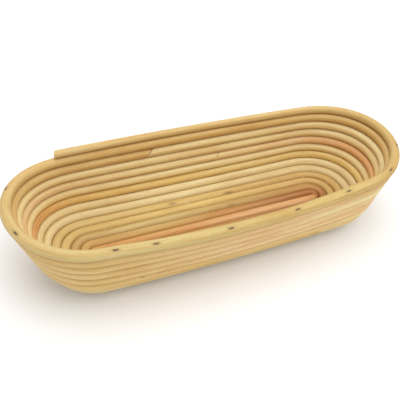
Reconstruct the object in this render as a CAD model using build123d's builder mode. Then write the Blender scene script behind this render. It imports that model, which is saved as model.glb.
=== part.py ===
"""Long banneton basket: a rattan spiral in six lengths, scarf-jointed end to end and stapled lap to lap.

A place on the spiral is given in laps, counted from the middle of the back and climbing counterclockwise
as seen from above. The whole number is the lap, and the rest is how far round the basket it is.
"""

import math
import os

from build123d import *

# Cane
CANE = 8.6  # diameter
PITCH = 8.75  # distance between the centre lines of neighbouring laps

# Plan: each lap runs along the back, round the left end, along the front and round the right end
HALF_STRAIGHT = 114.0  # half the length of a straight side
SIDE_SHARE = 0.26  # share of a lap spent on each side
END_SHARE = 0.5 - SIDE_SHARE  # share of a lap spent on each round end
SIDE_RUNS = 4  # straight runs along a side
END_RUNS = 8  # straight runs round an end

HAIRPIN_LAP = 0.5 - SIDE_SHARE / 2  # cut inner end of the cane, at the left end of the floor
RIM_LAP = 13.15  # cut outer end of the cane, at the back left of the rim

# Profile: angle between the basket's surface and the ground at three places, in degrees
CORNER_SLOPES = (3.5, 83.0)  # floor and wall where a side meets an end
MIDDLE_SLOPES = {"side": (0.0, 77.5), "left": (24.0, 71.5), "right": (16.5, 73.5)}
FLOOR_FLAT_UP_TO = 1.35  # lap where the floor's ends begin to rise
BEND_STARTS = 3.1  # lap where the floor begins to bend up into the wall
BEND_ENDS = 8.3  # lap where the wall has its full slope
PROFILE_STEP = 0.05  # laps in one step when the profile is added up
LAP_STEP = 0.005  # laps in one step along the cane

# Lengths of cane and the laps that each runs between, with a scarf joint between each two
LENGTHS = {
    "floor_start_cane": (HAIRPIN_LAP, 2.53),
    "floor_edge_cane": (2.53, 4.53),
    "bend_cane": (4.53, 6.60),
    "lower_wall_cane": (6.60, 8.97),
    "upper_wall_cane": (8.97, 11.05),
    "rim_cane": (11.05, RIM_LAP),
}
TIP_BASE = 0.75 * CANE  # distance from the middle of a joint to where a cut tip begins
LEAST_TURN = 0.2  # a path corner smaller than this is left out, in degrees

# Flat wire staples, driven from each lap into the lap before
STAPLE_CROWN = 4.4
STAPLE_LEG = 13.5
STAPLE_THICKNESS = 0.7
STAPLE_WIDTH = 1.0
STAPLES_PER_LAP = 10
STAPLE_LEAST_GAP = 40.0  # least distance between two staples of the small inner laps
STAPLE_SINK = 1.0  # depth of a covered crown under the outer edge of its cane
RIM_STAPLE_SINK = -0.1  # the rim's crowns stand this far out
RIM_STAPLE_SPOTS = (0.22, 0.28, 0.375, 0.41, 0.48, 0.55, 0.61, 0.675, 0.72, 0.77, 0.85, 0.95, 1.05, 1.13)


def ease(value):
    """Rise smoothly from 0 to 1 as the value goes from 0 to 1."""
    value = min(max(value, 0.0), 1.0)
    return value * value * (3 - 2 * value)


def outline(lap):
    """Find the place in plan: its name, how near its middle, the centre it is swung about and its heading."""
    half_laps, rest = divmod((lap + SIDE_SHARE / 2) % 1, 0.5)
    if rest < SIDE_SHARE:
        along = 1 - 2 * rest / SIDE_SHARE
        place = "side"
        nearness = 1 - along**2
        centre = HALF_STRAIGHT * along
        heading = 90
    else:
        swung = 180 * (rest - SIDE_SHARE) / END_SHARE
        place = "right" if half_laps else "left"
        nearness = math.sin(math.radians(swung)) ** 2
        centre = -HALF_STRAIGHT
        heading = 90 + swung
    if half_laps:
        centre = -centre
        heading += 180
    return place, nearness, centre, math.radians(heading)


def profile(lap, place, nearness):
    """Add up the surface from the basket's middle line to this lap: distance outwards and height."""
    floor, wall = (
        math.radians(corner + nearness * (middle - corner))
        for corner, middle in zip(CORNER_SLOPES, MIDDLE_SLOPES[place])
    )
    start = SIDE_SHARE / 2 + END_SHARE / 2
    steps = max(1, round((lap - start) / PROFILE_STEP))
    step = (lap - start) / steps
    outwards = 0
    height = 0
    for number in range(steps):
        here = start + (number + 0.5) * step
        bend = ease((here - BEND_STARTS) / (BEND_ENDS - BEND_STARTS))
        slope = ease((here - FLOOR_FLAT_UP_TO) / FLOOR_FLAT_UP_TO) * (floor + (wall - floor) * bend)
        outwards += step * PITCH * math.cos(slope)
        height += step * PITCH * math.sin(slope)
    return outwards, height


def point(lap):
    """Find the point of the cane's centre line at this lap."""
    place, nearness, centre, heading = outline(lap)
    outwards, height = profile(lap, place, nearness)
    x = centre + outwards * math.cos(heading)
    y = outwards * math.sin(heading)
    return Vector(x, y, CANE / 2 + height)


def cane_plane(lap):
    """Place a plane on the cane: X along it, Y towards the next lap and Z through the basket's surface."""
    along = point(lap + LAP_STEP) - point(lap - LAP_STEP)
    to_next = point(lap + 1) - point(lap - 1)
    return Plane(origin=point(lap), x_dir=along, z_dir=along.cross(to_next))


def path_points(first, last):
    """List the points where the cane's path bends between two laps."""
    side = [SIDE_SHARE * (run / SIDE_RUNS - 0.5) for run in range(SIDE_RUNS)]
    end = [SIDE_SHARE / 2 + END_SHARE * run / END_RUNS for run in range(END_RUNS)]
    laps = [half / 2 + part for half in range(math.ceil(2 * last) + 1) for part in side + end]
    return [point(lap) for lap in laps if first < lap < last]


def without_straight_points(points):
    """Leave out the points where the path runs straight on."""
    kept = points[:1]
    for here, following in zip(points[1:], points[2:]):
        if (here - kept[-1]).get_angle(following - here) > LEAST_TURN:
            kept.append(here)
    return kept + points[-1:]


def corner_radii(points):
    """Give each corner of the path the largest arc that its two runs allow."""
    radii = []
    for before, here, after in zip(points, points[1:], points[2:]):
        shorter = min((here - before).length, (after - here).length)
        turn = math.radians((here - before).get_angle(after - here))
        radii.append(0.45 * shorter / math.tan(turn / 2))
    return radii


def make_route(first, last):
    """Draw the centre line of one length of cane, up to where its cut tips begin."""
    with BuildLine() as route:
        if first == HAIRPIN_LAP:
            leg = Line(point(first), point(0.5 + SIDE_SHARE / 2))
            hairpin = JernArc(start=leg @ 1, tangent=leg % 1, radius=PITCH / 2, arc_size=180)
            points = [hairpin @ 1] + path_points(1, last)
        else:
            points = [cane_plane(first).from_local_coords((TIP_BASE, 0, 0))] + path_points(first, last)
        if last == RIM_LAP:
            points.append(point(last))
        else:
            points.append(cane_plane(last).from_local_coords((-TIP_BASE, 0, 0)))
        corners = without_straight_points([Vector(place) for place in points])
        FilletPolyline(*corners, radius=corner_radii(corners))
    return route.line


def make_tip(base, along, lap, keep):
    """Make the end of a cane, from its base to a cut at 45 degrees across the joint."""
    joint = cane_plane(lap)
    cut = Plane(origin=joint.origin, x_dir=joint.z_dir, z_dir=joint.x_dir + joint.y_dir)
    with BuildPart() as tip:
        with BuildSketch(Plane(origin=base, z_dir=along)):
            Circle(CANE / 2)
        extrude(amount=2 * TIP_BASE)
        split(bisect_by=cut, keep=keep)
    return tip.part


def make_cane(label, first, last):
    """Make one length of cane, with a cut tip wherever another length joins it."""
    route = make_route(first, last)
    tips = []
    if first != HAIRPIN_LAP:
        tips.append(make_tip(route @ 0, -(route % 0), first, Keep.TOP))
    if last != RIM_LAP:
        tips.append(make_tip(route @ 1, route % 1, last, Keep.BOTTOM))
    with BuildPart() as cane:
        with BuildSketch(Plane(origin=route @ 0, z_dir=route % 0)):
            Circle(CANE / 2)
        sweep(path=route)
        add(tips)
    cane.part.label = label
    export_step(cane.part, f"parts/{label}.step")


def make_staple():
    """Make one staple at the origin: crown along X with its top at Y = 0, and legs down along Y."""
    with BuildPart() as staple:
        with BuildSketch():
            with Locations((0, -STAPLE_LEG / 2)):
                Rectangle(STAPLE_CROWN, STAPLE_LEG)
            with Locations((0, -STAPLE_LEG / 2 - STAPLE_THICKNESS)):
                Rectangle(STAPLE_CROWN - 2 * STAPLE_THICKNESS, STAPLE_LEG, mode=Mode.SUBTRACT)
        extrude(amount=STAPLE_WIDTH / 2, both=True)
        fillet(staple.edges().filter_by(Axis.Z).group_by(Axis.Y)[-1], STAPLE_THICKNESS / 2)
    return staple.part


def staple_laps(number):
    """Spread the staples of one lap evenly, halfway between those of the laps before and after."""
    start = number + RIM_LAP % 1 + (number % 2) * 0.5 / STAPLES_PER_LAP
    laps = []
    for slot in range(STAPLES_PER_LAP):
        lap = start + slot / STAPLES_PER_LAP
        clear = not laps or (point(lap) - point(laps[-1])).length > STAPLE_LEAST_GAP
        if clear and lap - 1 > HAIRPIN_LAP:
            laps.append(lap)
    return laps


def staple_plane(lap, sink):
    """Place a staple on the outer edge of this lap's cane, pointing into the lap before."""
    along = point(lap + LAP_STEP) - point(lap - LAP_STEP)
    from_last = (point(lap) - point(lap - 1)).normalized()
    top = point(lap) + from_last * (CANE / 2 - sink)
    return Plane(origin=top, x_dir=along, z_dir=along.cross(from_last))


def make_staples(label, laps, sink):
    """Make one lap's staples as a group of separate solids."""
    staple = make_staple()
    with BuildPart() as row:
        with Locations(*[staple_plane(lap, sink) for lap in laps]):
            add(staple)
    row.part.label = label
    export_step(row.part, f"parts/{label}.step")


os.makedirs("parts", exist_ok=True)

for name, (first_lap, last_lap) in LENGTHS.items():
    make_cane(name, first_lap, last_lap)

for number in range(1, math.floor(RIM_LAP) - 1):
    make_staples(f"staples_{number}", staple_laps(number), STAPLE_SINK)
make_staples("rim_staples", [12 + spot for spot in RIM_STAPLE_SPOTS], RIM_STAPLE_SINK)
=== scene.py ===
"""Looks of the long banneton basket: six lengths of rattan cane, with grain, joints, flour and staples.

A place on the spiral is given in laps, as in the CAD source: counted from the middle of the back and
climbing counterclockwise as seen from above. An angle round the cane starts at the side that faces the next
lap and turns towards the basket's outside. All lengths are in metres.
"""

import math
from collections import namedtuple

import bpy
import numpy as np
from mathutils import Matrix, Vector


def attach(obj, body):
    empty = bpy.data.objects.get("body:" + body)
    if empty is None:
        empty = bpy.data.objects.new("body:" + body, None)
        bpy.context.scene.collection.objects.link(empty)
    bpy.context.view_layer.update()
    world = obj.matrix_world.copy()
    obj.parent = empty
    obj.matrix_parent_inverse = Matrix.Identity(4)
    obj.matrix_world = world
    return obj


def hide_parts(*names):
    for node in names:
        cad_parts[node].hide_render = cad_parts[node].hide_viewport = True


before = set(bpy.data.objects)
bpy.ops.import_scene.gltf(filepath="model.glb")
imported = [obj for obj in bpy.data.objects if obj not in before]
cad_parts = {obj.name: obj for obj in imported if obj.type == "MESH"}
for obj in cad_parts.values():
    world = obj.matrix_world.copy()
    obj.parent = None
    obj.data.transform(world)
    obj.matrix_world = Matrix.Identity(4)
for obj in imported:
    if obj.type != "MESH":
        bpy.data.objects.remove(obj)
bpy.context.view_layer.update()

MM = 0.001

# The spiral, as the CAD has it
CANE_RADIUS = 4.3 * MM
PITCH = 8.75 * MM  # distance between the centre lines of neighbouring laps
HALF_STRAIGHT = 114.0 * MM  # half the length of a straight side
SIDE_SHARE = 0.26  # share of a lap spent on each side
END_SHARE = 0.5 - SIDE_SHARE  # share of a lap spent on each round end
HAIRPIN_LAP = 0.5 - SIDE_SHARE / 2  # cut inner end of the cane
HAIRPIN_TURN_LAP = 0.5 + SIDE_SHARE / 2  # where its first bend starts
RIM_LAP = 13.15  # cut outer end of the cane
CENTRE_LAP = 0.25  # where the spiral would meet the basket's middle line
CORNER_SLOPES = (3.5, 83.0)  # degrees of floor and wall where a side meets an end
SIDE_SLOPES = (0.0, 77.5)  # the same in the middle of a side
LEFT_SLOPES = (24.0, 71.5)
RIGHT_SLOPES = (16.5, 73.5)
FLOOR_FLAT_UP_TO = 1.35  # lap where the floor's ends begin to rise
BEND_STARTS = 3.1  # lap where the floor begins to bend up into the wall
BEND_ENDS = 8.3  # lap where the wall has its full slope
LENGTHS = {  # the six canes and the laps that each runs between
    "floor_start_cane": (HAIRPIN_LAP, 2.53),
    "floor_edge_cane": (2.53, 4.53),
    "bend_cane": (4.53, 6.60),
    "lower_wall_cane": (6.60, 8.97),
    "upper_wall_cane": (8.97, 11.05),
    "rim_cane": (11.05, RIM_LAP),
}
RIM_STAPLE_SPOTS = (0.22, 0.28, 0.375, 0.41, 0.48, 0.55, 0.61, 0.675, 0.72, 0.77, 0.85, 0.95, 1.05, 1.13)

# The shape of the shown canes
SHOWN_RADIUS = 4.42 * MM
CONTACT_RADIUS = 4.36 * MM  # flattened where laps touch
CONTACT_STARTS = 0.6  # cosine of the angle from a neighbour where the flattening starts
SINK = 0.10 * MM  # how far laps lie inwards, give or take as much
SINK_WAVE = 55 * MM  # the shortest of its waves
SWAY = 0.05 * MM  # how far they wander towards their neighbours
SWAY_WAVE = 40 * MM
THICKNESS_SWING = 0.007  # share of the radius
THICKNESS_WAVE = 30 * MM
OVALNESS = 0.008  # share of the radius
OVAL_WAVE = 120 * MM
RIM_SIZES = (  # lap and thickness of the rim
    (12.20, 1.00), (12.35, 1.05), (12.65, 1.05), (12.77, 0.95), (12.87, 0.81), (13.05, 0.79), (13.15, 0.78),
)
START_NOSE = 4.0 * MM  # length of the rounded inner end
NOSE_RADIUS = 1.1 * START_NOSE  # of the curve that narrows it to a small flat tip
RIM_CUT = math.radians(28)  # lean of the rim's sawn end
RIM_CUT_REACH = 8 * MM  # length over which the rings lean into that cut
SCARF_REACH = 15 * MM  # length over which the rings lean into a scarf
JOINT_GAP = 0.12 * MM  # between each cut tip and the middle of its joint
OPEN_JOINT_LAP = 11.05  # the joint that shows a dark seam
OPEN_SEAM = 0.5  # how dark the edges of that joint are
CLOSED_SEAM = 0.15  # the same for the other joints
TIP_BEVEL = 0.28 * MM  # round each end of a cane

# How finely they are made
SIDES = 44  # flats round a cane
RING_GAP = 1.7 * MM
FINE_RING_GAP = 0.45 * MM  # near joints, knots and staples
LEAST_RING_GAP = 0.3 * MM
KNOT_MARGIN = 2 * MM  # fine rings past a knot's end
STAPLE_MARGIN = 6 * MM  # fine rings either side of a staple's middle
PROFILE_STEPS = 260  # steps in which the profile is added up
DENSE_LAP = 0.0005  # laps in one step of the dense centre line
SMOOTHING_STEPS = 14  # spread of the averaging along that line, in its steps
TANGENT_REACH = 0.4 * MM  # distance ahead and behind that gives the cane's direction

# Rim staples
STAPLE_CROWN = 4.4 * MM
STAPLE_THICKNESS = 0.7 * MM
STAPLE_WIDTH = 1.0 * MM
STAPLE_BEND = 0.55 * MM  # radius of its shoulders
STAPLE_SOFT_EDGE = 0.2 * MM  # radius of the wire's edges
CROWN_RISE = 0.04 * MM  # the crown's middle stands a little proud of its shoulders
STRAIGHT_LEG_TOP = 3 * MM  # depth under the crown
FIRST_LEANING_SPOT = 0.77  # from here on the staples sit on the rim's outer shoulder
LEAN = math.radians(13)  # of the staples before that spot, towards the outside
MORE_LEAN = math.radians(34)  # of those from that spot on
LEG = 13.5 * MM  # before that spot
SHORT_LEG = 5 * MM  # from that spot on, short enough to stay inside the cane
MOST_SKEW = 4  # degrees that a staple is turned from its cane's direction
MOST_PROUD = 0.1 * MM  # most that a crown stands above the cane
STAPLE_DENT = 0.42 * MM  # depth of the dent round a staple
DENT_LENGTH = 5.8 * MM
DENT_WIDTH = 1.9 * MM
STAPLE_SLOT_SHADE = 0.62  # darkness of the painted shadow in the slot round a staple
SLOT_SHADE_LENGTH = 7.2 * MM
SLOT_SHADE_WIDTH = 2.4 * MM

# Tones of the cane, as seen in plain light, from lap to lap
PALE = (0.895, 0.822, 0.612)
CREAM = (0.880, 0.792, 0.566)
PINK = (0.872, 0.742, 0.540)
CORAL = (0.862, 0.668, 0.452)
YELLOW = (0.850, 0.735, 0.450)
STRAW = (0.845, 0.752, 0.495)
TAN = (0.825, 0.700, 0.450)
HONEY = (0.802, 0.662, 0.400)
ORANGE = (0.830, 0.625, 0.375)
BROWN = (0.780, 0.590, 0.350)
RUST = (0.665, 0.440, 0.235)
TONES = (
    (0.37, ORANGE), (0.44, ORANGE), (0.52, CORAL), (0.62, CORAL), (0.69, RUST), (0.90, RUST), (0.98, BROWN),
    (1.05, HONEY), (1.40, HONEY), (1.70, RUST), (1.83, BROWN), (1.94, HONEY),
    (2.05, STRAW), (2.20, TAN), (2.529, TAN), (2.531, STRAW), (2.70, TAN), (2.88, TAN), (2.98, YELLOW),
    (3.15, STRAW), (3.50, TAN), (3.80, HONEY), (3.92, TAN),
    (4.02, YELLOW), (4.20, STRAW), (4.529, CREAM), (4.531, PALE),
    (5.15, PALE), (5.60, CREAM), (5.80, PALE),
    (6.05, PALE), (6.20, CREAM), (6.599, TAN), (6.601, CREAM), (6.78, YELLOW), (6.93, STRAW),
    (7.02, YELLOW), (7.10, YELLOW), (7.22, ORANGE), (7.35, TAN), (7.50, TAN), (7.70, CREAM),
    (8.00, PALE), (8.20, CREAM), (8.37, TAN), (8.50, PINK), (8.62, PINK), (8.71, CORAL), (8.79, CORAL),
    (8.87, PINK), (8.98, CREAM),
    (9.05, CREAM), (9.22, PINK), (9.37, TAN), (9.52, PINK), (9.70, CREAM),
    (10.22, CREAM), (10.37, TAN), (10.50, PINK), (10.60, PALE), (10.90, CREAM),
    (11.049, CREAM), (11.051, HONEY), (11.12, TAN), (11.35, TAN), (11.55, PINK), (11.75, HONEY),
    (12.06, HONEY), (12.20, TAN), (12.40, STRAW), (12.60, YELLOW), (12.80, TAN),
    (13.15, TAN),
)
DISPLAY_GAMMA = 2.2  # turns seen tones into the light values that shaders take
PAINTED_LIGHT_BY_LAP = (  # lap and brightness, painted light and shade: the floor and the front of the rim are painted duller than the walls
    (0.37, 0.96), (1.40, 0.96), (1.94, 0.91), (2.30, 0.91), (3.00, 0.98), (4.20, 0.96), (5.00, 0.97),
    (6.20, 0.99), (7.00, 1.03), (12.10, 1.01), (12.30, 0.94), (12.65, 0.92), (12.85, 0.97), (13.15, 0.98),
)
FLOUR_LAP = 4.0  # most old flour lies in the grooves here
FLOUR_LAPS = 3.0  # and fades over so many laps
LEAST_FLOUR = 0.25  # to this share
GROOVE_STARTS = 0.62  # cosine of the angle from a neighbour
GROOVE_SPAN = 0.36  # span of that cosine from the groove's start to its bottom

# Knots and scars: lap, degrees round the cane from the next lap, length and width in mm, strength
MARKS = (
    (4.032, 250, 9.0, 3.2, 0.60),
    (3.963, 226, 11.0, 3.4, 0.60),
    (1.969, 228, 10.0, 3.0, 0.35),
    (3.895, 262, 6.0, 2.0, 0.30),
    (13.046, 240, 2.2, 0.9, 0.75),
    (11.075, 240, 5.0, 1.6, 0.35),
    (7.420, 22, 13.0, 1.6, 0.80),
    (7.400, 40, 5.0, 1.6, 0.45),
    (12.245, 300, 7.0, 1.2, 0.35),
    (7.205, 292, 60.0, 1.1, 0.40),
    (7.165, 262, 48.0, 0.9, 0.30),
    (5.620, 90, 8.0, 2.6, 0.40),
    (8.310, 100, 7.0, 2.2, 0.35),
    (9.880, 80, 9.0, 2.4, 0.40),
    (10.40, 110, 6.0, 2.0, 0.35),
    (12.02, 70, 8.0, 2.2, 0.40),
    (6.550, 120, 9.0, 2.6, 0.40),
)
LONGEST_KNOT = 16 * MM  # a longer mark is a streak, which isn't dented
KNOT_DENT = 0.25 * MM

# Stage: camera and floor
CAMERA_AZIMUTH = math.radians(-27.06)
CAMERA_ELEVATION = math.radians(43.88)
CAMERA_ROLL = math.radians(6.26)
CAMERA_AIM = Vector((-12.4 * MM, 3.0 * MM, 35.0 * MM))
CAMERA_DISTANCE = 480.5 * MM
LENS = 46.85  # in mm, for a sensor 36 mm wide
LIGHT_AIM = Vector((0, 0, 30 * MM))
WORLD_LIGHT = 0.78  # strength of the light from all round
FLOOR_REACH = 6.0  # half its width
FLOOR_DROP = 0.3 * MM  # keeps the floor clear of the cane's underside

Mark = namedtuple("Mark", "length angle half_length half_width strength")
Staple = namedtuple("Staple", "length centre along from_last angle leg")


def ease(value):
    """Rise smoothly from 0 to 1 as the value goes from 0 to 1."""
    value = np.clip(value, 0.0, 1.0)
    return value * value * (3 - 2 * value)


def blob(value, edge):
    """Fall from 1 to 0 about a distance of 1, more sharply for a higher edge."""
    return np.exp(-np.abs(value) ** edge)


def unit(rows):
    """Scale each row to length 1."""
    return rows / np.linalg.norm(rows, axis=1, keepdims=True)


def table_at(table, lap):
    """Read a table of laps and numbers at these laps."""
    return np.interp(lap, [place for place, _ in table], [value for _, value in table])


def outline(lap):
    """Find the places in plan: slopes of floor and wall, centre swung about and heading outwards."""
    half, rest = np.divmod((lap + SIDE_SHARE / 2) % 1, 0.5)
    on_side = rest < SIDE_SHARE
    along = 1 - 2 * rest / SIDE_SHARE
    swung = np.pi * (rest - SIDE_SHARE) / END_SHARE
    nearness = np.where(on_side, 1 - along**2, np.sin(swung) ** 2)
    slopes = []
    for number, corner in enumerate(CORNER_SLOPES):
        end = np.where(half > 0, RIGHT_SLOPES[number], LEFT_SLOPES[number])
        middle = np.where(on_side, SIDE_SLOPES[number], end)
        slopes.append(np.radians(corner + nearness * (middle - corner)))
    turned = np.where(half > 0, -1.0, 1.0)
    centre = turned * np.where(on_side, HALF_STRAIGHT * along, -HALF_STRAIGHT)
    heading = np.pi / 2 + np.where(on_side, 0.0, swung) + half * np.pi
    return slopes[0], slopes[1], centre, heading


def slope_at(lap, floor, wall):
    """Find the angle between the basket's surface and the ground."""
    bend = ease((lap - BEND_STARTS) / (BEND_ENDS - BEND_STARTS))
    return ease((lap - FLOOR_FLAT_UP_TO) / FLOOR_FLAT_UP_TO) * (floor + (wall - floor) * bend)


def spiral(lap):
    """Find the centre line's points and the directions towards the next lap."""
    floor, wall, centre, heading = outline(lap)
    share = (np.arange(PROFILE_STEPS) + 0.5) / PROFILE_STEPS
    here = CENTRE_LAP + (lap[:, None] - CENTRE_LAP) * share
    slope = slope_at(here, floor[:, None], wall[:, None])
    reach = (lap - CENTRE_LAP) * PITCH
    outwards = reach * np.cos(slope).mean(1)
    height = reach * np.sin(slope).mean(1)
    east, north = np.cos(heading), np.sin(heading)
    points = np.stack([centre + outwards * east, outwards * north, CANE_RADIUS + height], 1)
    last = slope_at(lap, floor, wall)
    to_next = np.stack([np.cos(last) * east, np.cos(last) * north, np.sin(last)], 1)
    return points, to_next


def add_hairpin(lap, points, to_next):
    """Bend the first turn in one even arc."""
    start = spiral(np.array([HAIRPIN_TURN_LAP]))[0][0]
    turning = (lap > HAIRPIN_TURN_LAP) & (lap < 1 - SIDE_SHARE / 2)
    swung = np.pi * (lap[turning] - HAIRPIN_TURN_LAP) / END_SHARE
    out = np.stack([np.sin(swung), -np.cos(swung), np.zeros_like(swung)], 1)
    points[turning] = start + np.array([0, PITCH / 2, 0]) + out * PITCH / 2
    to_next[turning] = out


def smoothed(values):
    """Average each row with its neighbours, keeping the ends where they are."""
    reach = 3 * SMOOTHING_STEPS
    kernel = np.exp(-0.5 * (np.arange(-reach, reach + 1) / SMOOTHING_STEPS) ** 2)
    kernel /= kernel.sum()
    lead = 2 * values[0] - values[reach:0:-1]
    tail = 2 * values[-1] - values[-2:-reach - 2:-1]
    padded = np.concatenate([lead, values, tail])
    return np.stack([np.convolve(column, kernel, "valid") for column in padded.T], 1)


laps = np.arange(HAIRPIN_LAP, RIM_LAP + DENSE_LAP / 2, DENSE_LAP)
centre_line, out_line = spiral(laps)
add_hairpin(laps, centre_line, out_line)
centre_line = smoothed(centre_line)
out_line = unit(smoothed(out_line))
length_line = np.concatenate([[0], np.cumsum(np.linalg.norm(np.diff(centre_line, axis=0), axis=1))])


def length_at(lap):
    """Find the length along the cane at a lap."""
    return np.interp(lap, laps, length_line)


def at_length(table, length):
    """Read a table of the dense centre line at these lengths along the cane."""
    if table.ndim == 1:
        return np.interp(length, length_line, table)
    return np.stack([np.interp(length, length_line, column) for column in table.T], 1)


def frames(length):
    """Find the centres of rings and their three directions: along, to the next lap and to the outside."""
    centres = at_length(centre_line, length)
    ahead = at_length(centre_line, np.clip(length + TANGENT_REACH, 0, length_line[-1]))
    behind = at_length(centre_line, np.clip(length - TANGENT_REACH, 0, length_line[-1]))
    along = unit(ahead - behind)
    to_next = at_length(out_line, length)
    to_next = unit(to_next - (to_next * along).sum(1)[:, None] * along)
    return centres, along, to_next, np.cross(along, to_next)


def wander(length, seed, shortest):
    """Give a smooth, seeded waviness between about -1 and 1: five waves, each longer and stronger."""
    random = np.random.RandomState(seed)
    total = np.zeros_like(length)
    for number in range(5):
        wave = shortest * (1 + number * 0.9 + random.rand())
        total += np.sin(2 * np.pi * (length / wave + random.rand())) * (0.45 + 0.12 * number)
    return total / 3


def place_staple(spot):
    """Find a rim staple's place, its direction from the last lap with its lean, and its leg."""
    lap = np.array([12 + spot, 11 + spot])
    points = spiral(lap)[0]
    from_last = points[0] - points[1]
    from_last /= np.linalg.norm(from_last)
    length = length_at(lap[0])
    centre, along, to_next, outside = (rows[0] for rows in frames(np.array([length])))
    leaning = spot >= FIRST_LEANING_SPOT
    angle = math.atan2(from_last @ outside, from_last @ to_next) + (MORE_LEAN if leaning else LEAN)
    from_last = to_next * math.cos(angle) + outside * math.sin(angle)
    shrink = (1 - table_at(RIM_SIZES, lap[0])) * SHOWN_RADIUS
    centre = centre - to_next * shrink - from_last * shrink
    return Staple(length, centre, along, from_last, angle, SHORT_LEG if leaning else LEG)


rim_staples = [place_staple(spot) for spot in RIM_STAPLE_SPOTS]
marks = [
    Mark(length_at(lap), math.radians(angle), long * MM / 2, wide * MM / 2, strength)
    for lap, angle, long, wide, strength in MARKS
]
side_angles = np.arange(SIDES) * 2 * np.pi / SIDES + np.pi
cosine, sine = np.cos(side_angles), np.sin(side_angles)


def cane_rings(name, first_lap, last_lap):
    """Place the rings of one length of cane, closer together near joints, knots and staples."""
    first, last = length_at([first_lap, last_lap])
    start = first + (JOINT_GAP if first_lap != HAIRPIN_LAP else 0)
    stop = last - (JOINT_GAP if last_lap != RIM_LAP else 0)
    low, high = start + TIP_BEVEL, stop - TIP_BEVEL
    knots = [mark for mark in marks if 2 * mark.half_length < LONGEST_KNOT]
    details = [(knot.length, knot.half_length + KNOT_MARGIN) for knot in knots]
    details += [(first, SCARF_REACH / 2), (last, SCARF_REACH / 2)]
    if name == "rim_cane":
        details += [(staple.length, STAPLE_MARGIN) for staple in rim_staples]
    rings = list(np.linspace(low, high, round((high - low) / RING_GAP) + 1))
    for place, reach in details:
        near, far = max(low, place - reach), min(high, place + reach)
        if far > near:
            rings += list(np.linspace(near, far, max(2, round((far - near) / FINE_RING_GAP))))
    rings = np.unique(np.round(np.array(rings), 6))
    kept = [rings[0]]
    for ring in rings[1:]:
        if ring - kept[-1] > LEAST_RING_GAP:
            kept.append(ring)
    kept[-1] = rings[-1]
    return np.concatenate([[start], kept, [stop]])


def spot_on_cane(rings, place, half_length, angle, half_width, edge=2):
    """Fade from 1 to 0 round a spot on the grid of rings and sides."""
    turn = (side_angles - angle + np.pi) % (2 * np.pi) - np.pi
    round_cane = blob(turn * SHOWN_RADIUS / half_width, 2)
    return blob((rings[:, None] - place) / half_length, edge) * round_cane


def marks_and_dents(name, rings):
    """Find how dark knots and scars make each point of a cane, with painted shadow round the staples, and
    how deep they dent it.
    """
    dark = np.zeros((len(rings), SIDES))
    dent = np.zeros_like(dark)
    for mark in marks:
        spot = spot_on_cane(rings, mark.length, mark.half_length, mark.angle, mark.half_width)
        dark = np.maximum(dark, mark.strength * spot)
        if 2 * mark.half_length < LONGEST_KNOT:
            dent += mark.strength * KNOT_DENT * spot
    if name == "rim_cane":
        for staple in rim_staples:
            # painted shadow of the slot that each staple's crown sits in
            slot_shade = spot_on_cane(rings, staple.length, SLOT_SHADE_LENGTH / 2, staple.angle, SLOT_SHADE_WIDTH / 2)
            dented = spot_on_cane(rings, staple.length, DENT_LENGTH / 2, staple.angle, DENT_WIDTH / 2, 6)
            dark = np.maximum(dark, STAPLE_SLOT_SHADE * slot_shade)
            dent += STAPLE_DENT * dented
    return dark, dent


def nose_lengths(rings, first_lap):
    """Find how far the first rings of the whole spiral are pulled out, to round its inner end."""
    if first_lap != HAIRPIN_LAP:
        return np.zeros(len(rings))
    return START_NOSE * np.clip(1 - (rings - rings[0]) / (2 * START_NOSE), 0, 1)


def thickness(rings, lap, nose, seed):
    """Find the radius all round each ring, wavy and a little oval, and flattened where laps touch."""
    waves = 1 + THICKNESS_SWING * wander(rings, seed, THICKNESS_WAVE)
    radius = SHOWN_RADIUS * waves * table_at(RIM_SIZES, lap)
    beyond = np.clip(nose - (rings - rings[0]), 0, None)
    radius *= np.sqrt(1 - (beyond / NOSE_RADIUS) ** 2)
    radius[[0, -1]] -= TIP_BEVEL
    turned = 3 * wander(rings, seed + 1, OVAL_WAVE)[:, None]
    oval = 1 + OVALNESS * np.sin(2 * side_angles[None, :] + turned)
    touching = ease((np.abs(cosine) - CONTACT_STARTS) / (1 - CONTACT_STARTS))
    return radius[:, None] * oval * (1 - touching * (1 - CONTACT_RADIUS / SHOWN_RADIUS))


def lengthwise_shift(rings, radius, nose, first_lap, last_lap):
    """Find how far each point is pushed along the cane, to shape a nose, scarfs or an oblique cut."""
    scarf = np.zeros(len(rings))
    oblique = np.zeros(len(rings))
    if first_lap != HAIRPIN_LAP:
        scarf = ease(1 - (rings - rings[0]) / SCARF_REACH)
    if last_lap != RIM_LAP:
        scarf = np.maximum(scarf, ease(1 - (rings[-1] - rings) / SCARF_REACH))
    else:
        oblique = math.tan(RIM_CUT) * ease(1 - (rings[-1] - rings) / RIM_CUT_REACH)
    return -nose[:, None] - radius * (cosine * scarf[:, None] + sine * oblique[:, None])


def cane_faces(count):
    """Join the rings by quads, and close both ends with fans round the two points after the rings."""
    ring = np.arange(count - 1)[:, None] * SIDES
    side = np.arange(SIDES)
    after = (side + 1) % SIDES
    next_ring = ring + SIDES
    quads = np.stack([ring + side, ring + after, next_ring + after, next_ring + side], 2).reshape(-1, 4)
    top = (count - 1) * SIDES
    middle = np.full(SIDES, count * SIDES)
    start_fan = np.stack([after, side, middle], 1)
    stop_fan = np.stack([top + side, top + after, middle + 1], 1)
    return quads.tolist(), start_fan.tolist() + stop_fan.tolist()


def cane_tones(lap):
    """Find the tone of the cane at these laps, darkened or lightened by the painted light and shade for each
    lap, as light values.
    """
    places = [place for place, _ in TONES]
    seen = np.stack([np.interp(lap, places, channel) for channel in zip(*(tone for _, tone in TONES))], 1)
    return (seen * table_at(PAINTED_LIGHT_BY_LAP, lap)[:, None]) ** DISPLAY_GAMMA


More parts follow.
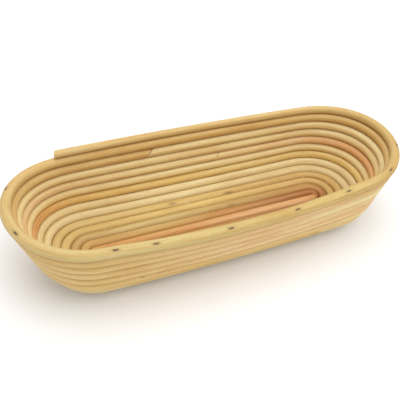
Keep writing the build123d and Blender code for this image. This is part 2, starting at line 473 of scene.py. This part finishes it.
def grooves_and_flour(lap):
    """Find how deep in a groove each point lies, which sets the painted groove shade, and how much old flour
    is left there.
    """
    has_next = (lap < RIM_LAP - 1).astype(float)[:, None]
    to_next = ease((cosine[None, :] - GROOVE_STARTS) / GROOVE_SPAN) * has_next
    groove = np.maximum(to_next, ease((-cosine[None, :] - GROOVE_STARTS) / GROOVE_SPAN))
    inner = ease(0.2 - sine[None, :] * 1.5)  # flour lies on the basket's inside
    share = LEAST_FLOUR + (1 - LEAST_FLOUR) * ease(1 - np.abs(lap - FLOUR_LAP) / FLOUR_LAPS)
    return groove, groove * inner * share[:, None]


def add_attribute(mesh, name, kind, field, rows, ends):
    """Store one value for each point of the rings, and one for each of the two points at the ends."""
    layer = mesh.attributes.new(name, kind, "POINT")
    layer.data.foreach_set(field, np.concatenate([rows, ends]).astype(np.float32).reshape(-1))


def cane_mesh(name, first_lap, last_lap, seed):
    """Make one length of cane."""
    rings = cane_rings(name, first_lap, last_lap)
    lap = at_length(laps, rings)
    dark, dent = marks_and_dents(name, rings)
    nose = nose_lengths(rings, first_lap)
    radius = thickness(rings, lap, nose, seed + 2) - dent
    shift = lengthwise_shift(rings, radius, nose, first_lap, last_lap)
    centres, along, to_next, outside = frames(rings)
    drop = (1 - table_at(RIM_SIZES, lap)) * SHOWN_RADIUS  # a thinner rim still rests on the lap below
    centres = centres - outside * (SINK * (1 + wander(rings, seed, SINK_WAVE)))[:, None]
    centres = centres + to_next * (SWAY * wander(rings, seed + 1, SWAY_WAVE) - drop)[:, None]
    sheet = (
        centres[:, None, :]
        + to_next[:, None, :] * (radius * cosine)[:, :, None]
        + outside[:, None, :] * (radius * sine)[:, :, None]
        + along[:, None, :] * shift[:, :, None]
    )
    verts = np.concatenate([sheet.reshape(-1, 3), [sheet[0].mean(0), sheet[-1].mean(0)]])
    walls, ends = cane_faces(len(rings))
    mesh = bpy.data.meshes.new(name)
    mesh.from_pydata(verts.tolist(), [], walls + ends)
    on_end = np.arange(len(mesh.polygons)) >= len(walls)
    mesh.polygons.foreach_set("use_smooth", ~on_end)
    mesh.polygons.foreach_set("material_index", on_end.astype(np.int32))

    seam = OPEN_SEAM if OPEN_JOINT_LAP in (first_lap, last_lap) else CLOSED_SEAM
    if first_lap != HAIRPIN_LAP:
        dark[:2] = seam
    if last_lap != RIM_LAP:
        dark[-2:] = seam
    groove, flour = grooves_and_flour(lap)
    for attribute, values in (("groove", groove), ("dust", flour), ("mark", dark)):
        add_attribute(mesh, attribute, "FLOAT", "value", values.reshape(-1), [0, 0])
    grain = np.stack([rings[:, None] + shift, radius * cosine, radius * sine], 2).reshape(-1, 3)
    grain_ends = [[rings[0], 0, 0], [rings[-1], 0, 0]]
    add_attribute(mesh, "grain", "FLOAT_VECTOR", "vector", grain, grain_ends)
    tone = np.column_stack([cane_tones(lap), np.ones(len(lap))])
    add_attribute(mesh, "tone", "FLOAT_COLOR", "color", np.repeat(tone, SIDES, axis=0), tone[[0, -1]])
    mesh.update()
    return add_piece(name + "_rattan", mesh)


def add_piece(name, mesh):
    """Put a mesh into the scene."""
    piece = bpy.data.objects.new(name, mesh)
    bpy.context.scene.collection.objects.link(piece)
    return piece


def staple_line():
    """Bend a staple's middle line: left leg, shoulder and crown, and the same mirrored."""
    half = STAPLE_CROWN / 2 - STAPLE_THICKNESS / 2
    shoulder = -STAPLE_THICKNESS / 2 - STAPLE_BEND
    line = [(-half, -SHORT_LEG), (-half, -STRAIGHT_LEG_TOP)]
    for turn in np.radians(np.arange(0, 91, 15)):
        line.append((-half + STAPLE_BEND * (1 - np.cos(turn)), shoulder + STAPLE_BEND * np.sin(turn)))
    line.append((0, -STAPLE_THICKNESS / 2 + CROWN_RISE))
    line += [(-x, y) for x, y in reversed(line[:-1])]
    return np.array(line)


def staple_section():
    """Draw the wire's section: a flat rectangle with soft edges."""
    section = []
    for across, through, first in ((1, 1, 0), (-1, 1, 90), (-1, -1, 180), (1, -1, 270)):
        for turn in np.radians([first, first + 45, first + 90]):
            wide = across * (STAPLE_WIDTH / 2 - STAPLE_SOFT_EDGE) + STAPLE_SOFT_EDGE * np.cos(turn)
            thick = through * (STAPLE_THICKNESS / 2 - STAPLE_SOFT_EDGE) + STAPLE_SOFT_EDGE * np.sin(turn)
            section.append((wide, thick))
    return section


def staple_mesh():
    """Make the rim's staples of flat wire, each a little askew and sunk to its own depth."""
    line = staple_line()
    heads = unit(np.gradient(line, axis=0))
    section = staple_section()
    sides = len(section)
    rows = len(line)
    verts, faces = [], []
    for number, staple in enumerate(rim_staples):
        random = np.random.RandomState(300 + number)
        skew = math.radians(random.uniform(-MOST_SKEW, MOST_SKEW))
        along = staple.along * math.cos(skew) + np.cross(staple.along, staple.from_last) * math.sin(skew)
        across = np.cross(along, staple.from_last)
        top = staple.centre + staple.from_last * (CANE_RADIUS + random.uniform(0, MOST_PROUD))
        line[[0, -1], 1] = -staple.leg
        base = len(verts)
        for point, head in zip(line, heads):
            normal = along * -head[1] + staple.from_last * head[0]
            middle = top + along * point[0] + staple.from_last * point[1]
            verts += [middle + across * wide + normal * thick for wide, thick in section]
        for row in range(rows - 1):
            for side in range(sides):
                here = base + row * sides + side
                after = base + row * sides + (side + 1) % sides
                faces.append((here, here + sides, after + sides, after))
        faces.append(tuple(base + side for side in range(sides)))
        faces.append(tuple(base + (rows - 1) * sides + side for side in reversed(range(sides))))
    mesh = bpy.data.meshes.new("rim_staple_wires")
    mesh.from_pydata([tuple(vert) for vert in verts], [], faces)
    mesh.polygons.foreach_set("use_smooth", [len(face) == 4 for face in faces])
    mesh.update()
    return add_piece("rim_staple_wires", mesh)


class Nodes:
    """A short way to write a node material."""

    def __init__(self, name):
        self.material = bpy.data.materials.new(name)
        self.material.use_nodes = True
        self.tree = self.material.node_tree
        self.shader = self.tree.nodes["Principled BSDF"]

    def put(self, kind, **settings):
        """Add a node and set its properties."""
        node = self.tree.nodes.new(kind)
        for key, value in settings.items():
            setattr(node, key, value)
        return node

    def feed(self, socket, value):
        """Link an output to a socket, or set the socket's value."""
        if isinstance(value, bpy.types.NodeSocket):
            self.tree.links.new(value, socket)
        else:
            socket.default_value = value

    def attribute(self, name, output):
        """Read an attribute of the mesh."""
        return self.put("ShaderNodeAttribute", attribute_name=name).outputs[output]

    def object_place(self):
        """Read the place on the object."""
        return self.put("ShaderNodeTexCoord").outputs["Object"]

    def stretch(self, vector, scale):
        """Scale a vector."""
        node = self.put("ShaderNodeVectorMath", operation="MULTIPLY")
        self.feed(node.inputs[0], vector)
        self.feed(node.inputs[1], scale)
        return node.outputs[0]

    def noise(self, vector, scale, detail):
        """Give noise with this many cycles a metre along, across and through."""
        node = self.put("ShaderNodeTexNoise")
        self.feed(node.inputs["Vector"], self.stretch(vector, scale))
        self.feed(node.inputs["Scale"], 1.0)
        self.feed(node.inputs["Detail"], detail)
        self.feed(node.inputs["Roughness"], 0.55)
        return node.outputs["Fac"]

    def span(self, value, low, high, out_low=0.0, out_high=1.0):
        """Map a span of values onto another, clamped."""
        node = self.put("ShaderNodeMapRange")
        for socket, setting in zip(node.inputs, (value, low, high, out_low, out_high)):
            self.feed(socket, setting)
        return node.outputs[0]

    def maths(self, operation, first, second):
        """Do sums."""
        node = self.put("ShaderNodeMath", operation=operation)
        self.feed(node.inputs[0], first)
        self.feed(node.inputs[1], second)
        return node.outputs[0]

    def blend(self, share, first, second, how="MIX"):
        """Mix two colours."""
        node = self.put("ShaderNodeMix", data_type="RGBA", blend_type=how)
        self.feed(node.inputs["Factor"], share)
        self.feed(node.inputs[6], first)
        self.feed(node.inputs[7], second)
        return node.outputs[2]

    def finish(self, colour, roughness, shine, height, distance, strength):
        """Feed the shader: its colour, roughness and shine, and a bump of this height."""
        bump = self.put("ShaderNodeBump")
        self.feed(bump.inputs["Height"], height)
        self.feed(bump.inputs["Distance"], distance)
        self.feed(bump.inputs["Strength"], strength)
        self.feed(self.shader.inputs["Base Color"], colour)
        self.feed(self.shader.inputs["Roughness"], roughness)
        self.feed(self.shader.inputs["Specular IOR Level"], shine)
        self.feed(self.shader.inputs["Normal"], bump.outputs[0])
        return self.material


def rattan(name):
    """Make the skin of peeled cane: long fibres, streaks, pores, painted brown shade in the grooves with old
    flour, knots, and painted shadow round the staples.
    """
    pore_brown = (0.23, 0.11, 0.04, 1)
    # colour of the painted shade in the grooves between laps
    groove_shade_brown = (0.38, 0.20, 0.08, 1)
    old_flour = (0.80, 0.70, 0.52, 1)
    mark_and_slot_shade_brown = (0.14, 0.06, 0.02, 1)
    nodes = Nodes(name)
    grain = nodes.attribute("grain", "Vector")
    tone = nodes.attribute("tone", "Color")
    groove = nodes.attribute("groove", "Fac")
    dust = nodes.attribute("dust", "Fac")
    mark = nodes.attribute("mark", "Fac")
    fibre = nodes.noise(grain, (55, 1500, 1500), 3.0)
    streak = nodes.noise(grain, (11, 420, 420), 3.0)
    blotch = nodes.noise(grain, (16, 55, 55), 2.0)
    pore = nodes.noise(grain, (330, 2600, 2600), 1.0)
    crumb = nodes.noise(grain, (420, 700, 700), 2.0)

    deep = nodes.blend(1.0, tone, (0.80, 0.60, 0.40, 1), "MULTIPLY")
    light = nodes.blend(0.45, tone, (0.86, 0.72, 0.50, 1))
    colour = nodes.blend(nodes.span(streak, 0.50, 0.72, 0.0, 0.55), tone, deep)
    colour = nodes.blend(nodes.span(streak, 0.48, 0.30, 0.0, 0.35), colour, light)
    colour = nodes.blend(nodes.span(blotch, 0.52, 0.74, 0.0, 0.42), colour, deep)
    colour = nodes.blend(nodes.span(fibre, 0.50, 0.75, 0.0, 0.42), colour, deep)
    colour = nodes.blend(nodes.span(fibre, 0.46, 0.28, 0.0, 0.25), colour, light)
    colour = nodes.blend(nodes.span(pore, 0.66, 0.74, 0.0, 0.55), colour, pore_brown)
    # painted shade: dark brown in the grooves between laps, made patchy by the blotch noise
    patchy_groove_shade = nodes.maths("MULTIPLY", groove, nodes.span(blotch, 0.25, 0.70, 0.55, 1.0))
    colour = nodes.blend(nodes.span(patchy_groove_shade, 0.30, 1.0, 0.0, 0.45), colour, groove_shade_brown)
    floury = nodes.maths("MULTIPLY", dust, nodes.span(crumb, 0.60, 0.68))
    colour = nodes.blend(nodes.span(floury, 0.22, 0.50, 0.0, 0.90), colour, old_flour)
    # darkens knots, scars and seams, and paints the shadow round the staples
    marked_and_slot_shaded = nodes.maths("MULTIPLY", mark, nodes.span(fibre, 0.30, 0.62, 1.35, 0.75))
    colour = nodes.blend(nodes.span(marked_and_slot_shaded, 0.03, 1.0, 0.0, 1.0), colour, mark_and_slot_shade_brown)

    roughness = nodes.span(streak, 0.25, 0.75, 0.46, 0.68)
    height = nodes.maths("ADD", nodes.maths("MULTIPLY", fibre, 0.7), streak)
    height = nodes.maths("SUBTRACT", height, nodes.span(pore, 0.62, 0.76, 0.0, 0.5))
    height = nodes.maths("SUBTRACT", height, nodes.maths("MULTIPLY", mark, 0.6))
    return nodes.finish(colour, roughness, 0.34, height, 0.22 * MM, 0.55)


def end_grain(name):
    """Make a sawn end of cane: pale pith full of pores, with saw marks."""
    nodes = Nodes(name)
    grain = nodes.attribute("grain", "Vector")
    tone = nodes.attribute("tone", "Color")
    voronoi = nodes.put("ShaderNodeTexVoronoi")
    nodes.feed(voronoi.inputs["Vector"], nodes.stretch(grain, (0, 2300, 2300)))
    nodes.feed(voronoi.inputs["Scale"], 1.0)
    pore = voronoi.outputs["Distance"]
    saw = nodes.noise(grain, (0, 3200, 260), 2.0)
    patch = nodes.noise(grain, (0, 420, 420), 2.0)

    pale = nodes.blend(0.35, tone, (0.84, 0.70, 0.48, 1))
    colour = nodes.blend(nodes.span(pore, 0.24, 0.14, 0.0, 0.80), pale, (0.20, 0.10, 0.04, 1))
    colour = nodes.blend(nodes.span(patch, 0.45, 0.75, 0.0, 0.55), colour, (0.45, 0.27, 0.12, 1))
    colour = nodes.blend(nodes.span(saw, 0.52, 0.72, 0.0, 0.35), colour, (0.38, 0.22, 0.10, 1))
    roughness = nodes.span(patch, 0.3, 0.7, 0.72, 0.90)
    height = nodes.maths("ADD", saw, nodes.span(pore, 0.12, 0.3))
    return nodes.finish(colour, roughness, 0.2, height, 0.15 * MM, 0.7)


def staple_steel(name):
    """Make dull wire: drawn lines and brown tarnish."""
    tarnish_brown = (0.075, 0.038, 0.018, 1)
    nodes = Nodes(name)
    place = nodes.object_place()
    drawn = nodes.noise(place, (900, 2600, 900), 3.0)
    tarnish = nodes.noise(place, (380, 380, 380), 4.0)
    steel = nodes.blend(nodes.span(drawn, 0.35, 0.70), (0.14, 0.085, 0.05, 1), (0.24, 0.16, 0.10, 1))
    colour = nodes.blend(nodes.span(tarnish, 0.42, 0.60, 0.0, 0.9), steel, tarnish_brown)
    roughness = nodes.span(tarnish, 0.35, 0.68, 0.42, 0.80)
    nodes.feed(nodes.shader.inputs["Metallic"], nodes.span(tarnish, 0.42, 0.60, 0.35, 0.05))
    return nodes.finish(colour, roughness, 0.5, nodes.maths("ADD", drawn, tarnish), 0.05 * MM, 0.6)


def pale_board(name):
    """Make a plain pale floor with a very faint mottle."""
    nodes = Nodes(name)
    mottle = nodes.noise(nodes.object_place(), (3, 3, 3), 2.0)
    colour = nodes.blend(mottle, (0.88, 0.88, 0.88, 1), (0.90, 0.90, 0.90, 1))
    nodes.feed(nodes.shader.inputs["Base Color"], colour)
    nodes.feed(nodes.shader.inputs["Roughness"], 0.85)
    nodes.feed(nodes.shader.inputs["Specular IOR Level"], 0.15)
    return nodes.material


skin = rattan("peeled_rattan")
sawn = end_grain("sawn_rattan_end")
steel = staple_steel("tarnished_staple_wire")

for number, (node, (first_lap, last_lap)) in enumerate(LENGTHS.items()):
    cane = cane_mesh(node, first_lap, last_lap, 40 + 10 * number)
    cane.data.materials.append(skin)
    cane.data.materials.append(sawn)
    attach(cane, "root")
    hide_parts(node)

wires = staple_mesh()
wires.data.materials.append(steel)
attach(wires, "root")
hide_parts("rim_staples")

for node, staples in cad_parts.items():
    if node.startswith("staples_"):
        staples.data.materials.clear()
        staples.data.materials.append(steel)


def soft_light(name, place, size, power):
    """Add a large soft lamp that faces the basket."""
    data = bpy.data.lights.new(name, "AREA")
    data.shape = "DISK"
    data.size = size
    data.energy = power
    lamp = bpy.data.objects.new(name, data)
    lamp.location = place
    lamp.rotation_mode = "QUATERNION"
    lamp.rotation_quaternion = (LIGHT_AIM - Vector(place)).to_track_quat("-Z", "Y")
    bpy.context.scene.collection.objects.link(lamp)


def add_floor():
    """Lay the floor just under the basket."""
    mesh = bpy.data.meshes.new("floor")
    corners = [(x * FLOOR_REACH, y * FLOOR_REACH, 0) for x, y in ((-1, -1), (1, -1), (1, 1), (-1, 1))]
    mesh.from_pydata(corners, [], [(0, 1, 2, 3)])
    mesh.materials.append(pale_board("pale_floor"))
    floor = add_piece("floor", mesh)
    floor.location = (0, 0, -FLOOR_DROP)


def add_camera():
    """Look down at the basket from its front left, as in the photo, with the camera a little askew."""
    data = bpy.data.cameras.new("camera")
    data.lens = LENS
    data.clip_start = 10 * MM
    level = math.cos(CAMERA_ELEVATION)
    back = Vector((
        math.sin(CAMERA_AZIMUTH) * level, -math.cos(CAMERA_AZIMUTH) * level, math.sin(CAMERA_ELEVATION)
    ))
    right = (-back).cross(Vector((0, 0, 1))).normalized()
    up = right.cross(-back)
    rolled_right = right * math.cos(CAMERA_ROLL) + up * math.sin(CAMERA_ROLL)
    rolled_up = up * math.cos(CAMERA_ROLL) - right * math.sin(CAMERA_ROLL)
    turn = Matrix((rolled_right, rolled_up, back)).transposed().to_4x4()
    camera = bpy.data.objects.new("camera", data)
    camera.matrix_world = Matrix.Translation(CAMERA_AIM + back * CAMERA_DISTANCE) @ turn
    bpy.context.scene.collection.objects.link(camera)
    bpy.context.scene.camera = camera


add_floor()
world = bpy.data.worlds.new("studio")
world.use_nodes = True
world.node_tree.nodes["Background"].inputs["Color"].default_value = (1, 1, 1, 1)
world.node_tree.nodes["Background"].inputs["Strength"].default_value = WORLD_LIGHT
bpy.context.scene.world = world
bpy.context.scene.view_settings.view_transform = "Standard"  # the default one greys the pale floor and cane
soft_light("key", (0.45, -0.50, 1.25), 1.2, 6.5)
soft_light("top", (-0.1, 0.25, 1.3), 1.1, 6.5)
add_camera()
